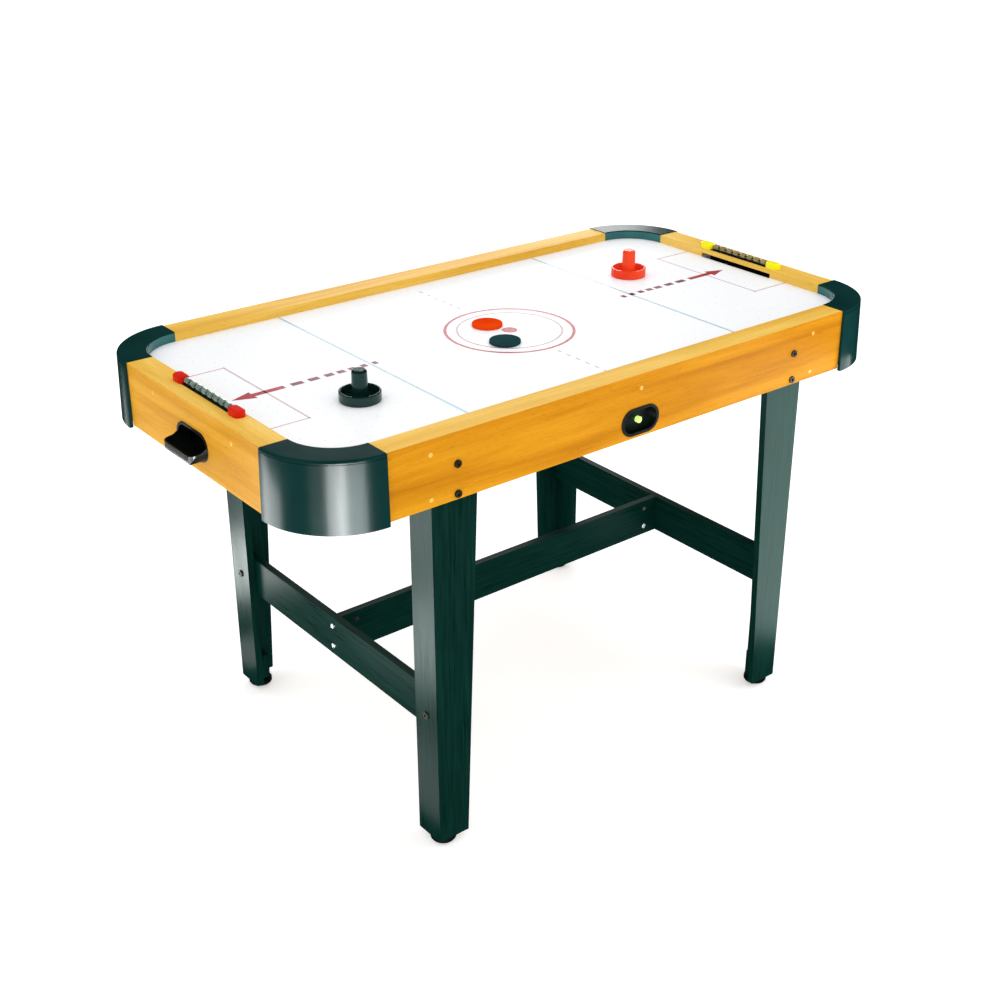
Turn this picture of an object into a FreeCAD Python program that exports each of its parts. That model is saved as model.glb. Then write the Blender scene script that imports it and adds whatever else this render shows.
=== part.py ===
"""Air hockey table with an H-stretcher frame, an air plenum, two bead scorers and its loose pieces.

Frame: millimetres, +X along the table, -Y towards the side that carries the switch, +Z up,
origin on the floor under the middle of the table.
"""
import FreeCAD, Part
import os
import Sketcher

Vector = FreeCAD.Vector
Rotation = FreeCAD.Rotation
AXIS = {"X": Vector(1, 0, 0), "Y": Vector(0, 1, 0), "Z": Vector(0, 0, 1)}
SIDES = {"left": -1, "right": 1}
FACES = {"front": -1, "back": 1}
BEADS_PER_SCORER = 8
FAN_BLADES = 7
BLADE_PITCH = 35
GUARD_RINGS = 4

SIZES = {
    # the table top
    "table_length": 1370, "table_width": 750, "rail_top": 830, "apron_depth": 121, "board": 15,
    "rail_width": 50, "rail_thick": 17.5, "panel_thick": 12,
    # corner caps
    "cap_reach": 140, "cap_proud": 4.5, "cap_rise": 1.5, "cap_wall": 4, "cap_top": 5.5, "cap_drop": 4,
    "cap_groove": 1.5, "cap_tab": 24, "cap_tab_thick": 3, "cap_tab_low": 8, "cap_tab_high": 4,
    "cap_edge": 4, "cap_mouth_edge": 1.5, "cap_flare": 3,
    # goals and puck trays
    "goal_width": 203, "goal_height": 8.5, "goal_lead": 3, "wall": 2.5, "box_depth": 70,
    "liner_thick": 2.2, "liner_foot": 8, "ramp_rise": 22, "tray_width": 98, "tray_top": 50,
    "tray_bottom": 94, "tray_reach": 32, "tray_lip": 76, "tray_cheek": 10, "tray_belly": 12,
    "tray_corner": 26, "tray_flange": 2, "tray_rim": 5,
    # air plenum and fan
    "plenum_length": 1180, "plenum_width": 580, "plenum_depth": 30, "batten": 18, "plenum_base": 5,
    "fan_side": 120, "fan_depth": 38, "fan_bore": 56, "fan_hub": 24, "fan_tip": 54, "fan_strut": 5,
    "motor_radius": 20, "motor_height": 16, "shaft_radius": 2.5, "shaft_length": 24,
    "strut_rise": 3, "strut_thick": 4, "guard_thick": 2, "guard_web": 3, "guard_slot": 7,
    "fan_corner": 6, "rotor_height": 18, "rotor_lap": 12, "blade_chord": 22, "blade_thick": 1.6,
    # legs and stretchers
    "leg_inset": 234.5, "leg_top_width": 95, "leg_foot_width": 65, "leg_lean": 3, "leg_side": 64,
    "leg_foot": 17, "leg_block": 55, "block_reach": 44, "stretcher_top": 320, "stretcher_depth": 82,
    "stem_room": 20, "leg_gap": 1.5,
    # levelling feet
    "foot_radius": 24, "foot_thick": 14, "foot_inset_x": 27, "foot_inset_y": 27, "stem_radius": 4,
    "stem_length": 44, "foot_base": 8, "foot_heel": 3, "foot_bevel": 2, "foot_shoulder": 4,
    "nut_radius": 8, "nut_height": 2, "running_gap": 0.06,
    # fasteners
    "bolt_from_end": 278, "bolt_high": 57, "bolt_low": 111, "bolt_radius": 3, "bolt_head": 7,
    "bolt_head_thick": 3, "bolt_length": 34, "side_bolt_inset": 32, "hole_gap": 0.3,
    "screw_radius": 2.5, "screw_head": 5, "screw_head_thick": 2, "screw_length": 58,
    "screw_spread": 22, "screw_gap": 8, "bolt_bite": 1, "dowel_from_end": 35, "dowel_radius": 5,
    # switch and power inlet
    "bezel_width": 90, "bezel_height": 53, "bezel_drop": 89, "bezel_thick": 2, "bezel_rim": 5.5,
    "recess": 10, "button_radius": 6, "button_length": 12, "button_sink": 3, "button_edge": 1,
    "bezel_lap": 1, "bezel_wall": 1.5, "button_room": 6, "inlet_x": -300,
    "inlet_width": 24, "inlet_height": 28, "inlet_depth": 30, "inlet_lip": 5, "inlet_wall": 4,
    "socket_depth": 18, "pin_radius": 1.5, "pin_length": 16,
    # scorers
    "scorer_inset": 36, "post_spread": 97, "post_length": 34, "post_width": 22, "post_height": 13,
    "post_corner": 10, "post_round": 5, "post_bite": 8, "rod_height": 7.5, "rod_radius": 1.5,
    "strip_width": 15, "strip_thick": 1.5, "bead_radius": 5.5, "bead_length": 13, "bead_round": 2.2,
    # loose pieces
    "puck_radius": 30, "puck_thick": 6, "puck_band": 5, "air_gap": 0.3, "pusher_radius": 37,
    "pusher_rim": 18, "pusher_wall": 4, "pusher_floor": 6, "pusher_height": 56, "knob_radius": 14.5,
    "orange_puck_x": -29, "orange_puck_y": 32, "black_puck_x": -61, "black_puck_y": -64,
    "black_pusher_x": -432, "black_pusher_y": -132, "red_pusher_x": 409, "red_pusher_y": 100,
}

doc = FreeCAD.newDocument("AirHockeyTable")
sheet = doc.addObject("Spreadsheet::Sheet", "Sizes")
for row, (alias, value) in enumerate(SIZES.items(), start=1):
    sheet.set(f"A{row}", alias)
    sheet.set(f"B{row}", str(value))
    sheet.setAlias(f"B{row}", alias)
doc.recompute()


class Size:
    """A length that carries its value and the spreadsheet formula it comes from."""

    def __init__(self, value, formula):
        self.value, self.formula = value, formula

    def combine(self, other, sign, result):
        return Size(result, f"({self.formula} {sign} {as_size(other).formula})")

    def __add__(self, other):
        return self.combine(other, "+", self.value + as_size(other).value)

    def __sub__(self, other):
        return self.combine(other, "-", self.value - as_size(other).value)

    def __mul__(self, other):
        return self.combine(other, "*", self.value * as_size(other).value)

    def __truediv__(self, other):
        return self.combine(other, "/", self.value / as_size(other).value)

    def __radd__(self, other):
        return as_size(other) + self

    def __rsub__(self, other):
        return as_size(other) - self

    def __rmul__(self, other):
        return as_size(other) * self

    def __neg__(self):
        return as_size(0) - self


def as_size(value):
    return value if isinstance(value, Size) else Size(value, repr(value))


class Sheet:
    """Reads one spreadsheet cell as a Size: cell.board is the board's thickness."""

    def __getattr__(self, alias):
        return Size(float(sheet.get(alias)), f"Sizes.{alias}")


cell = Sheet()
nodes = {}


def node(thing, label):
    """Names a finished sub-part."""
    thing.Label = label
    nodes[label] = thing
    return thing


def bind(thing, path, value):
    thing.setExpression(path, as_size(value).formula)


def place(thing, at, axis="Z", angle=0):
    thing.Placement = FreeCAD.Placement(Vector(*[as_size(c).value for c in at]),
                                        Rotation(AXIS[axis], angle))
    for letter, coordinate in zip("xyz", at):
        bind(thing, f"Placement.Base.{letter}", coordinate)
    return thing


def ordered(first, second):
    """Two lengths, the lower one first."""
    return sorted((as_size(first), as_size(second)), key=lambda length: length.value)


def box(low, size):
    """A block from its lowest corner and its three sizes."""
    thing = doc.addObject("Part::Box", "Block")
    for name, value in zip(("Length", "Width", "Height"), size):
        bind(thing, name, value)
    return place(thing, low)


def block(low, high):
    """A block between two opposite corners."""
    return box(low, [b - as_size(a) for a, b in zip(low, [as_size(c) for c in high])])


def cylinder(at, radius, length, axis="Z", sweep=360):
    """A cylinder that starts at a point and runs along +X, +Y, -Y or +Z."""
    thing = doc.addObject("Part::Cylinder", "Round")
    bind(thing, "Radius", radius)
    bind(thing, "Height", length)
    thing.Angle = sweep
    turns = {"X": ("Y", 90), "Y": ("X", -90), "-Y": ("X", 90), "-X": ("Y", -90), "Z": ("Z", 0)}
    return place(thing, at, *turns[axis])


def cone(at, low_radius, high_radius, height, sweep=360):
    """An upright tapered cylinder on a point, round the axis +Z."""
    thing = doc.addObject("Part::Cone", "Taper")
    for name, value in (("Radius1", low_radius), ("Radius2", high_radius), ("Height", height)):
        bind(thing, name, value)
    thing.Angle = sweep
    return place(thing, at)


def fuse(*things):
    thing = doc.addObject("Part::MultiFuse", "Fused")
    thing.Shapes = list(things)
    return thing


def cut(base, *tools):
    thing = doc.addObject("Part::Cut", "CutOut")
    thing.Base = base
    thing.Tool = tools[0] if len(tools) == 1 else fuse(*tools)
    return thing


def common(first, second):
    thing = doc.addObject("Part::Common", "Shared")
    thing.Base, thing.Tool = first, second
    return thing


def group(things):
    """Separate identical solids kept together in one sub-part."""
    thing = doc.addObject("Part::Compound", "Group")
    thing.Links = list(things)
    return thing


def round_edges(base, axis, radius):
    """Rounds every straight edge of a block that runs along one axis."""
    doc.recompute()
    thing = doc.addObject("Part::Fillet", "Rounded")
    thing.Base = base
    along = AXIS[axis]
    thing.Edges = [(number, radius.value, radius.value)
                   for number, edge in enumerate(base.Shape.Edges, start=1)
                   if isinstance(edge.Curve, Part.Line)
                   and abs(edge.tangentAt(edge.FirstParameter).dot(along)) > 0.99]
    return thing


def round_picked(base, radius, wanted):
    """Rounds the edges whose middle point passes a test."""
    doc.recompute()
    thing = doc.addObject("Part::Fillet", "Softened")
    thing.Base = base
    thing.Edges = [(number, radius.value, radius.value)
                   for number, edge in enumerate(base.Shape.Edges, start=1)
                   if wanted(edge.CenterOfMass)]
    return thing


def new_body(name):
    return doc.addObject("PartDesign::Body", name)


def outline(body, plane, points):
    """A closed sketch of straight runs on one of the body's own planes, every corner dimensioned."""
    sketch = body.newObject("Sketcher::SketchObject", "Outline")
    origin = [f for f in body.Origin.OriginFeatures if f.Role == plane][0]
    sketch.AttachmentSupport = [(origin, "")]
    sketch.MapMode = "FlatFace"
    corners = [Vector(as_size(a).value, as_size(b).value, 0) for a, b in points]
    for start, end in zip(corners, corners[1:] + corners[:1]):
        sketch.addGeometry(Part.LineSegment(start, end), False)
    count = len(corners)
    for number in range(count):
        sketch.addConstraint(Sketcher.Constraint("Coincident", number, 2, (number + 1) % count, 1))
    for number, pair in enumerate(points):
        for kind, value in zip(("DistanceX", "DistanceY"), pair):
            value = as_size(value)
            index = sketch.addConstraint(
                Sketcher.Constraint(kind, -1, 1, number, 1, value.value))
            bind(sketch, f"Constraints[{index}]", value)
    return sketch


def prism(plane, points, length, reverse=False):
    """A body padded from an outline: plane XY_Plane, XZ_Plane or YZ_Plane."""
    body = new_body("Prism")
    sketch = outline(body, plane, points)
    pad = body.newObject("PartDesign::Pad", "Pad")
    pad.Profile = sketch
    bind(pad, "Length", length)
    pad.Reversed = reverse
    doc.recompute()
    return body


def turned(points, edge_radius=None):
    """A body turned about Z from an outline of radius and height, its rims rounded if asked."""
    body = new_body("Turned")
    sketch = outline(body, "XZ_Plane", points)
    turn = body.newObject("PartDesign::Revolution", "Turn")
    turn.Profile = sketch
    turn.ReferenceAxis = (sketch, ["V_Axis"])
    turn.Angle = 360
    doc.recompute()
    if edge_radius is not None:
        widest = max(as_size(radius).value for radius, _ in points)
        rims = [f"Edge{number}" for number, edge in enumerate(turn.Shape.Edges, start=1)
                if isinstance(edge.Curve, Part.Circle) and edge.Curve.Radius > widest - 0.01]
        soften = body.newObject("PartDesign::Fillet", "Soften")
        soften.Base = (turn, rims)
        bind(soften, "Radius", edge_radius)
        doc.recompute()
    return body


# Driving places that several sub-parts share.
half_length = cell.table_length / 2
half_width = cell.table_width / 2
playfield = cell.rail_top - cell.rail_thick
panel_base = playfield - cell.panel_thick
apron_base = cell.rail_top - cell.apron_depth
plenum_base = panel_base - cell.plenum_depth
fan_top = plenum_base - cell.plenum_base
leg_top = panel_base - cell.leg_gap
leg_x = half_length - cell.leg_inset
leg_y = half_width - cell.board
bolt_x = half_length - cell.bolt_from_end
stretcher_low = cell.stretcher_top - cell.stretcher_depth
stretcher_mid = cell.stretcher_top - cell.stretcher_depth / 2
cap_span_x = half_length - cell.cap_reach
cap_span_y = half_width - cell.cap_reach
bolt_hole = cell.bolt_radius + cell.hole_gap


def bolt_places():
    """Each apron bolt as (side of the table, x, height)."""
    return [(face, side * bolt_x, cell.rail_top - drop)
            for face in FACES.values() for side in SIDES.values()
            for drop in (cell.bolt_high, cell.bolt_low)]


def along_face(face, at, radius, length):
    """A round that starts on the long side's outer face and runs inward."""
    x, depth, height = at
    return cylinder((x, face * (half_width - depth), height), radius, length,
                    "Y" if face < 0 else "-Y")


def playfield_panel():
    """The perforated board: rounded corners under the caps, a notch in each goal mouth."""
    corner = cell.cap_reach - cell.board
    low = (-(half_length - cell.board), -leg_y, panel_base)
    board = block(low, (half_length - cell.board, leg_y, playfield))
    board = round_edges(board, "Z", corner)
    notches = []
    for side in SIDES.values():
        mouth = half_length - cell.rail_width - cell.goal_lead
        ends = ordered(side * mouth, side * half_length)
        notches.append(block((ends[0], -cell.goal_width / 2, panel_base - 1),
                             (ends[1], cell.goal_width / 2, playfield + 1)))
    node(cut(board, *notches), "playfield_panel")


def plenum():
    """The glued batten frame and the thin board that close the air chamber from below."""
    x, y = cell.plenum_length / 2, cell.plenum_width / 2
    outer = block((-x, -y, plenum_base), (x, y, panel_base))
    inner = block((cell.batten - x, cell.batten - y, plenum_base - 1),
                  (x - cell.batten, y - cell.batten, panel_base + 1))
    node(cut(outer, inner), "plenum_frame")
    base = block((-x, -y, fan_top), (x, y, plenum_base))
    node(cut(base, cylinder((0, 0, fan_top - 1), cell.fan_bore, cell.plenum_base + 2)),
         "plenum_base")


def long_profile(face, part):
    """Section of a long side in Y and Z: the apron and its rail meet in a mitre."""
    outer, inner = face * half_width, face * leg_y
    rail_edge = face * (half_width - cell.rail_width)
    if part == "apron":
        return [(outer, apron_base), (inner, apron_base), (inner, playfield),
                (outer, cell.rail_top)]
    return [(outer, cell.rail_top), (inner, playfield), (rail_edge, playfield),
            (rail_edge, cell.rail_top)]


def end_profile(side, part):
    """Section of a short end in X and Z, mitred like the long sides."""
    outer, inner = side * half_length, side * (half_length - cell.board)
    rail_edge = side * (half_length - cell.rail_width)
    if part == "apron":
        return [(outer, apron_base), (inner, apron_base), (inner, playfield),
                (outer, cell.rail_top)]
    return [(outer, cell.rail_top), (inner, playfield), (rail_edge, playfield),
            (rail_edge, cell.rail_top)]


def long_sides():
    for name, face in FACES.items():
        rail = prism("YZ_Plane", long_profile(face, "rail"), cap_span_x * 2)
        place(rail, (-cap_span_x, 0, 0))
        node(rail, f"rail_{name}")
        apron = prism("YZ_Plane", long_profile(face, "apron"), cap_span_x * 2)
        place(apron, (-cap_span_x, 0, 0))
        holes = [along_face(face, (x, -1, height), bolt_hole, cell.board + 2)
                 for side, x, height in bolt_places() if side == face]
        if face < 0:
            holes.append(stadium(-half_width - 1, cell.board + 2, cell.bezel_rim - cell.bezel_wall))
        else:
            holes.append(block((cell.inlet_x - cell.inlet_width / 2, leg_y - 1, inlet_low),
                               (cell.inlet_x + cell.inlet_width / 2, half_width + 1,
                                inlet_low + cell.inlet_height)))
        node(cut(apron, *holes), f"apron_{name}")


inlet_low = cell.rail_top - cell.bezel_drop - cell.inlet_height / 2


def stadium(start, length, inset):
    """A block with fully round ends, as wide as the bezel less an inset, running along +Y."""
    width = cell.bezel_width - inset * 2
    height = cell.bezel_height - inset * 2
    centre = cell.rail_top - cell.bezel_drop
    shape = box((-width / 2, start, centre - height / 2), (width, length, height))
    return round_edges(shape, "Y", height / 2 - 0.01)


def tray_opening(start, length, inset, side):
    """The tray's round-cornered passage through a short end; inset is from the flange's rim."""
    half = cell.tray_width / 2 + cell.tray_rim - inset
    low = cell.rail_top - cell.tray_bottom - cell.tray_rim + inset
    high = cell.rail_top - cell.tray_top + cell.tray_rim - inset
    ends = ordered(side * start, side * (start + length))
    shape = block((ends[0], -half, low), (ends[1], half, high))
    return round_edges(shape, "X", cell.tray_corner - inset)


def short_ends():
    for name, side in SIDES.items():
        rail = prism("XZ_Plane", end_profile(side, "rail"), cap_span_y * 2)
        place(rail, (0, cap_span_y, 0))
        near = side * (half_length - cell.rail_width - 1)
        far = side * (half_length - cell.board - 3)
        ends = ordered(near, far)
        slot = block((ends[0], -cell.goal_width / 2, playfield - 1),
                     (ends[1], cell.goal_width / 2, playfield + cell.goal_height))
        node(cut(rail, slot), f"rail_{name}")
        apron = prism("XZ_Plane", end_profile(side, "apron"), cap_span_y * 2)
        place(apron, (0, cap_span_y, 0))
        passage = tray_opening(half_length - cell.board - 1, cell.board + 2,
                               cell.tray_rim - cell.wall - cell.hole_gap, side)
        node(cut(apron, passage), f"apron_{name}")


def corner_cap(label, x, y, angle):
    """A moulded quarter-round cap with draft, built in the +X +Y quarter about its arc's centre."""
    outer = cell.cap_reach + cell.cap_proud
    skirt_in = outer - cell.cap_wall
    inner = cell.cap_reach - cell.rail_width
    low = apron_base - cell.cap_drop
    top = cell.rail_top + cell.cap_rise
    under = top - cell.cap_top
    wall = cell.cap_wall
    shell = cone((0, 0, low), outer + cell.cap_flare, outer, top - low, sweep=90)
    lower = cylinder((0, 0, low - 1), skirt_in, playfield - low + 1)
    mouth = cylinder((0, 0, playfield - 1), inner, top - playfield + 2)
    hollow = common(cylinder((0, 0, playfield - 1), skirt_in, under - playfield + 1),
                    block((wall, wall, playfield - 2), (outer, outer, under)))
    hollow = cut(hollow, cylinder((0, 0, playfield - 3), inner + wall, under - playfield + 4))
    ring = cylinder((0, 0, under - cell.cap_groove), outer + 1, cell.cap_groove)
    groove = cut(ring, cylinder((0, 0, under - cell.cap_groove - 1), outer - 1,
                                cell.cap_groove + 2))
    cap = cut(shell, lower, mouth, hollow, groove)
    tab_low, tab_high = apron_base + cell.cap_tab_low, panel_base - cell.cap_tab_high
    face = cell.cap_reach - cell.board
    thick = cell.cap_tab_thick
    tabs = [block((0, face, tab_low), (thick, skirt_in + 1, tab_high)),
            block((-cell.cap_tab, face - thick, tab_low), (thick, face, tab_high)),
            block((face, 0, tab_low), (skirt_in + 1, thick, tab_high)),
            block((face - thick, -cell.cap_tab, tab_low), (face, thick, tab_high))]
    whole = fuse(cap, *tabs)
    doc.recompute()
    soft_outer, soft_inner = cell.cap_edge.value, cell.cap_mouth_edge.value
    rims = []
    for number, edge in enumerate(whole.Shape.Edges, start=1):
        if isinstance(edge.Curve, Part.Circle) and abs(edge.Curve.Center.z - top.value) < 0.01:
            radius = soft_outer if edge.Curve.Radius > inner.value + 1 else soft_inner
            rims.append((number, radius, radius))
    soft = doc.addObject("Part::Fillet", "SoftRim")
    soft.Base = whole
    soft.Edges = rims
    place(soft, (x, y, 0), "Z", angle)
    node(soft, label)


def corner_caps():
    corners = {"back_right": (1, 1, 0), "back_left": (-1, 1, 90),
               "front_left": (-1, -1, 180), "front_right": (1, -1, 270)}
    for name, (along, across, angle) in corners.items():
        corner_cap(f"corner_cap_{name}", along * cap_span_x, across * cap_span_y, angle)


def goal_liner(side, front):
    """A thin upright that closes the back of the goal slot, on a foot joined to the box's wall."""
    half = cell.goal_width / 2 - cell.hole_gap
    top = playfield + cell.goal_height - cell.hole_gap
    face = front - cell.board / 5 - cell.hole_gap
    low = panel_base - cell.liner_foot
    ends = ordered(side * (face - cell.liner_thick), side * face)
    upright = block((ends[0], -half, low), (ends[1], half, top))
    foot_ends = ordered(side * (face - cell.liner_thick), side * (front - 1))
    foot = block((foot_ends[0], -half, low), (foot_ends[1], half, panel_base))
    return fuse(upright, foot)


def scoop_solid(side, reach, half, low, lip_line):
    """The scoop's side profile between low and lip_line, its three outer edges rounded."""
    tip = half_length + reach
    base = cell.board / 2
    points = [(side * (half_length - base), low), (side * tip, low)]
    points += [(side * (half_length + out), height) for out, height in lip_line]
    points.append((side * (half_length - base), lip_line[-1][1]))
    solid = place(prism("XZ_Plane", points, half * 2), (0, half, 0))
    radius = cell.tray_belly - (cell.tray_reach - reach)

    def at_tip(middle):
        outermost = abs(middle.x - side * tip.value) < 0.01
        upright = abs(abs(middle.y) - half.value) < 0.01
        return outermost and (upright or abs(middle.z - low.value) < 0.01)
    return round_picked(solid, radius, at_tip)


def goal_box(name, side):
    """The moulded chute behind a goal with the scoop that hands the puck back."""
    reach = cell.tray_reach
    wall = cell.wall
    inside = cell.goal_width / 2
    back = half_length - cell.board - cell.box_depth
    front = half_length - cell.board
    floor = cell.rail_top - cell.tray_bottom
    lip = cell.rail_top - cell.tray_lip

    x_low, x_high = ordered(side * back, side * front)
    shell = block((x_low, -inside - wall, floor - wall), (x_high, inside + wall, panel_base))
    c_low, c_high = ordered(side * (back + wall), side * (front - wall))
    well = block((c_low, -inside, floor), (c_high, inside, panel_base + 1))
    ramp_points = [(side * (back + 1), floor - 1), (side * (front - 1), floor - 1),
                   (side * (front - 1), floor + 1), (side * (back + 1), floor + cell.ramp_rise)]
    ramp = place(prism("XZ_Plane", ramp_points, (inside + 1) * 2), (0, inside + 1, 0))

    half = cell.tray_width / 2
    cheek = [(reach, lip), (reach / 3, lip + cell.tray_cheek / 3), (0, lip + cell.tray_cheek)]
    outer = scoop_solid(side, reach, half + wall, floor - wall, cheek)
    scoop = common(outer, tray_opening(front, cell.board + reach + 1, cell.tray_rim - wall, side))
    clear = lip + cell.tray_cheek * 2
    inner = scoop_solid(side, reach - wall, half, floor, [(reach - wall, clear), (0, clear)])
    hollow = common(inner, tray_opening(front, cell.board + reach + 1, cell.tray_rim, side))

    flange = tray_opening(half_length, cell.tray_flange, 0, side)
    sleeve = tray_opening(front - 1, cell.board + 1, cell.tray_rim - wall, side)
    passage = tray_opening(front - wall - 2, cell.board + wall + 4 + cell.tray_flange,
                           cell.tray_rim, side)
    body = fuse(cut(shell, well), ramp, flange, sleeve, scoop)
    node(fuse(cut(body, passage, hollow), goal_liner(side, front)), f"goal_box_{name}")


def leg(name, side, face):
    """An L of two glued boards: parallel inside the apron, tapered below it, blocked at the foot."""
    x, y = side * leg_x, face * leg_y
    lean, foot, board, depth = cell.leg_lean, cell.leg_foot, cell.board, cell.leg_side

    def board_outline(top_width, foot_width):
        return [(x, leg_top), (x - side * top_width, leg_top), (x - side * top_width, apron_base),
                (x - side * (foot_width + lean), foot), (x - side * lean, foot), (x, apron_base)]

    face_ends = ordered(y, y - face * board)
    face_board = place(prism("XZ_Plane", board_outline(cell.leg_top_width, cell.leg_foot_width),
                             board), (0, face_ends[1], 0))
    side_ends = ordered(y - face * (board - 1), y - face * depth)
    side_board = place(prism("XZ_Plane", board_outline(board, board), depth - board + 1),
                       (0, side_ends[1], 0))
    block_x = ordered(x - side * (board + lean - 1), x - side * cell.block_reach)
    block_y = ordered(y - face * (board - 1), y - face * cell.block_reach)
    glue_block = block((block_x[0], block_y[0], foot),
                       (block_x[1], block_y[1], foot + cell.leg_block))
    stem = cylinder((leg_foot_x(side), leg_foot_y(face), foot - 1),
                    cell.stem_radius + cell.running_gap, cell.leg_block + cell.stem_room)
    holes = [along_face(face, (bolt, board - 1, height), bolt_hole, board + 2)
             for bolt_face, bolt, height in bolt_places()
             if bolt_face == face and bolt.value * side > 0]
    holes.append(cylinder((x + side * 1, stretcher_bolt_y(face), stretcher_mid), bolt_hole,
                          board + 5, "X" if side < 0 else "-X"))
    node(cut(fuse(face_board, side_board, glue_block), stem, *holes), f"leg_{name}")


def leg_foot_x(side):
    return side * (leg_x - cell.leg_lean - cell.foot_inset_x)


def leg_foot_y(face):
    return face * (leg_y - cell.foot_inset_y)


def stretcher_bolt_y(face):
    return face * (leg_y - cell.side_bolt_inset)


def side_face_x(side):
    """The leg's outer side face leans in by lean over the drop below the apron."""
    drop = (apron_base - stretcher_mid) / (apron_base - cell.leg_foot)
    return side * (leg_x - cell.leg_lean * drop)


def stretchers():
    """Two end stretchers bolted inside the legs and one long stretcher between them."""
    inner_face = leg_x - cell.board - cell.leg_lean
    for name, side in SIDES.items():
        ends = ordered(side * inner_face, side * (inner_face - cell.board))
        board = block((ends[0], -(leg_y - cell.board - 1), stretcher_low),
                      (ends[1], leg_y - cell.board - 1, cell.stretcher_top))
        start = side * (inner_face + 1)
        axis = "X" if side < 0 else "-X"
        holes = [cylinder((start, stretcher_bolt_y(face), stretcher_mid), bolt_hole,
                          cell.board + 2, axis) for face in FACES.values()]
        holes += [cylinder((start, 0, height), cell.screw_radius + cell.hole_gap,
                           cell.board + 2, axis) for height in screw_heights()]
        node(cut(board, *holes), f"end_stretcher_{name}")
    x = inner_face - cell.board
    board = block((-x, -cell.board / 2, stretcher_low), (x, cell.board / 2, cell.stretcher_top))
    holes = []
    for side in SIDES.values():
        for height in screw_heights():
            holes.append(cylinder((side * (x + 1), 0, height), cell.screw_radius + cell.hole_gap,
                                  cell.screw_length - cell.screw_gap, "X" if side < 0 else "-X"))
            holes.append(cylinder((side * (x - cell.dowel_from_end), -cell.board, height),
                                  cell.dowel_radius + 0.05, cell.board * 2, "Y"))
    node(cut(board, *holes), "centre_stretcher")
    node(group(connector(side, height) for side in SIDES.values()
               for height in screw_heights()), "stretcher_connectors")


def screw_heights():
    return [stretcher_mid - cell.screw_spread, stretcher_mid + cell.screw_spread]


def connector(side, height):
    """One connector bolt with its barrel nut in the long stretcher."""
    inner_face = leg_x - cell.board - cell.leg_lean
    axis = "X" if side < 0 else "-X"
    head = cylinder((side * (inner_face + cell.screw_head_thick), 0, height), cell.screw_head,
                    cell.screw_head_thick, axis)
    shank = cylinder((side * (inner_face + 1), 0, height), cell.screw_radius,
                     cell.screw_length, axis)
    x = side * (inner_face - cell.board - cell.dowel_from_end)
    nut = cylinder((x, -cell.board / 2, height), cell.dowel_radius, cell.board, "Y")
    return fuse(head, shank, nut)


def bolt_at(base, direction):
    """One socket-head bolt: its head stands on a face and its shank runs inward."""
    x, y, height = base
    step, bite = cell.bolt_head_thick, cell.bolt_bite
    if direction in ("Y", "-Y"):
        face = -1 if direction == "Y" else 1
        head_at, shank_at = (x, y + face * step, height), (x, y + face * bite, height)
    else:
        side = -1 if direction == "X" else 1
        head_at, shank_at = (x + side * step, y, height), (x + side * bite, y, height)
    head = cylinder(head_at, cell.bolt_head, step, direction)
    shank = cylinder(shank_at, cell.bolt_radius, cell.bolt_length, direction)
    socket = cylinder(head_at, cell.bolt_radius, step - 1, direction)
    return cut(fuse(head, shank), socket)


def leg_bolts():
    bolts = [bolt_at((x, face * half_width, height), "Y" if face < 0 else "-Y")
             for face, x, height in bolt_places()]
    bolts += [bolt_at((side_face_x(side), stretcher_bolt_y(face), stretcher_mid),
                      "X" if side < 0 else "-X")
              for side in SIDES.values() for face in FACES.values()]
    node(group(bolts), "leg_bolts")


def leveller(name, side, face):
    """A turned foot with the stem that screws up into the leg's block."""
    foot, stem, top = cell.foot_radius, cell.stem_radius, cell.foot_thick
    nut_top = top + cell.nut_height
    end = nut_top + cell.stem_length
    points = [(0, 0), (foot - cell.foot_base, 0), (foot - cell.foot_bevel, cell.foot_heel),
              (foot, cell.foot_heel * 2), (foot, top - cell.foot_bevel),
              (foot - cell.foot_shoulder, top), (cell.nut_radius, top), (cell.nut_radius, nut_top),
              (stem, nut_top), (stem, end), (0, end)]
    node(place(turned(points), (leg_foot_x(side), leg_foot_y(face), 0)), f"leveller_{name}")


def legs():
    for face_name, face in FACES.items():
        for side_name, side in SIDES.items():
            leg(f"{face_name}_{side_name}", side, face)
            leveller(f"{face_name}_{side_name}", side, face)


def switch():
    """The oval dished bezel in the front apron and its round push button."""
    face = -half_width
    plate = stadium(face - cell.bezel_thick, cell.bezel_thick, 0)
    cup = stadium(face - cell.bezel_lap, cell.recess + cell.bezel_lap,
                  cell.bezel_rim - cell.bezel_wall + cell.hole_gap)
    dish = stadium(face - cell.bezel_thick - 1, cell.recess + 1, cell.bezel_rim)
    centre = cell.rail_top - cell.bezel_drop
    bore = cylinder((0, face - cell.bezel_thick - 1, centre),
                    cell.button_radius + cell.running_gap, cell.recess + cell.button_room, "Y")
    node(cut(fuse(plate, cup), dish, bore), "switch_bezel")
    length, radius = cell.button_length, cell.button_radius
    points = [(0, 0), (radius, 0), (radius, length), (0, length)]
    button = turned(points, cell.button_edge)
    place(button, (0, face + cell.recess + cell.button_sink, centre), "X", 90)
    node(button, "power_button")


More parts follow.
